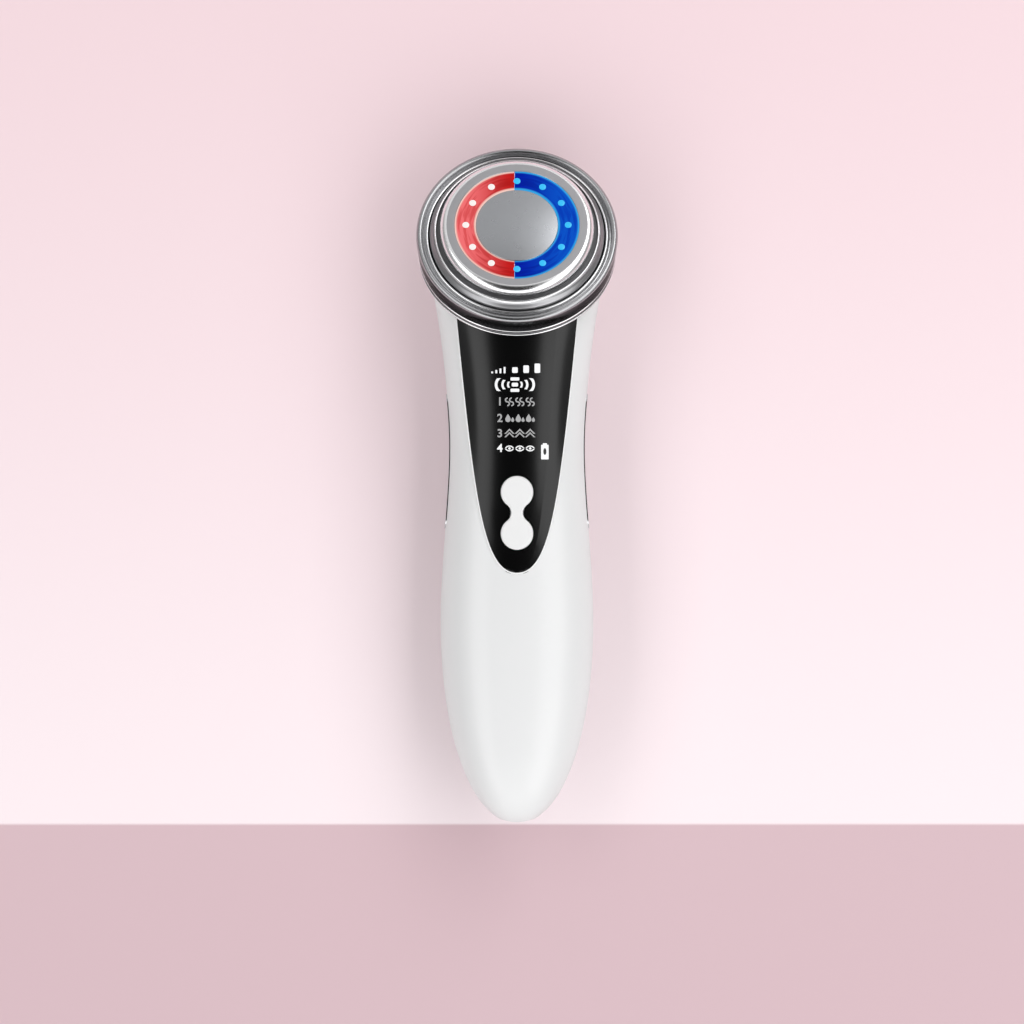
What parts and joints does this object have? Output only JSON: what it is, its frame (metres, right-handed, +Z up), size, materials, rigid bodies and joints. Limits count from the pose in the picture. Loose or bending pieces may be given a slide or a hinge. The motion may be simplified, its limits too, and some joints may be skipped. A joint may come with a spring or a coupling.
{
  "type": "facial toning device",
  "caption": "Hand-held facial toning device: a tilted chrome treatment head with a red and blue light ring, a black icon panel and a rocker key on a white handle.",
  "frame": {"origin": "on the resting surface, under the middle of the device's bounding box", "axes": "+Z up, away from the surface the device's back rests on; +Y along the handle towards the head; +X to the right, seen from the front with the head up"},
  "size_m": [0.0536, 0.1797, 0.0436],
  "materials": {
    "shell_white": "gloss white moulded ABS",
    "panel_black": "gloss black moulded lens",
    "key_white": "satin white moulded key",
    "chrome": "bright chrome plating",
    "satin_metal": "satin electrode face",
    "strip_metal": "plated finger electrodes",
    "glow_red": "clear red light guide",
    "glow_blue": "clear blue light guide",
    "dark_plastic": "matt black plastic",
    "grey_plastic": "matt light grey plastic",
    "rubber": "black rubber",
    "board_green": "green circuit board",
    "board_white": "white lamp board",
    "steel": "plain steel",
    "spring_brass": "gold-plated spring leaf",
    "lamp": "lamp package",
    "cell_wrap": "shrink-wrapped cell",
    "heater_film": "amber heater film"
  },
  "bodies": {
    "device": {"front_shell": "shell_white", "rear_shell": "shell_white", "display_panel": "panel_black", "side_electrode_left": "strip_metal", "side_electrode_right": "strip_metal", "contact_springs": "spring_brass", "key_bracket": "steel", "key_pin": "steel", "switch_cases": "dark_plastic", "main_board": "board_green", "board_screws": "steel", "icon_lights": "lamp", "light_mask": "dark_plastic", "battery_cell": "cell_wrap", "charge_board": "board_green", "charge_screws": "steel", "charge_socket": "steel", "motor_can": "steel", "motor_boot": "rubber", "head_carrier": "grey_plastic", "head_screws": "steel", "insulating_ring": "dark_plastic", "head_trim": "chrome", "ring_seal": "rubber", "face_electrode": "chrome", "light_guide_red": "glow_red", "light_guide_blue": "glow_blue", "centre_electrode": "satin_metal", "heater_pad": "heater_film", "led_board": "board_white", "red_lamps": "lamp", "blue_lamps": "lamp"},
    "rocker": {"rocker_key": "key_white"},
    "lower_plunger": {"lower_plunger": "dark_plastic"},
    "upper_plunger": {"upper_plunger": "dark_plastic"},
    "rotor": {"motor_rotor": "steel"},
    "clamp_ring": {"pad_clamp_ring": "chrome"}
  },
  "joints": [
    {"name": "key_rock", "type": "hinge", "parent": "device", "child": "rocker", "pos_m": [0, -0.0072, 0.0277], "axis": [1, 0, 0], "range_deg": [-2, 2], "stiffness_Nm_per_rad": 0.3},
    {"name": "lower_press", "type": "slide", "parent": "device", "child": "lower_plunger", "axis": [0, 0, 1], "range_m": [-0.00025, 0.00025]},
    {"name": "upper_press", "type": "slide", "parent": "device", "child": "upper_plunger", "axis": [0, 0, 1], "range_m": [-0.00025, 0.00025]},
    {"name": "rotor_spin", "type": "hinge", "parent": "device", "child": "rotor", "pos_m": [0, 0.021, 0.0105], "axis": [0, 1, 0], "continuous": true},
    {"name": "ring_lift", "type": "slide", "parent": "device", "child": "clamp_ring", "axis": [0, 0.4924, 0.8704], "range_m": [0, 0.012]}
  ],
  "couplings": [
    {"joint": "lower_press", "follows": "key_rock", "m_per_rad": -0.0055},
    {"joint": "upper_press", "follows": "key_rock", "m_per_rad": 0.0055}
  ]
}
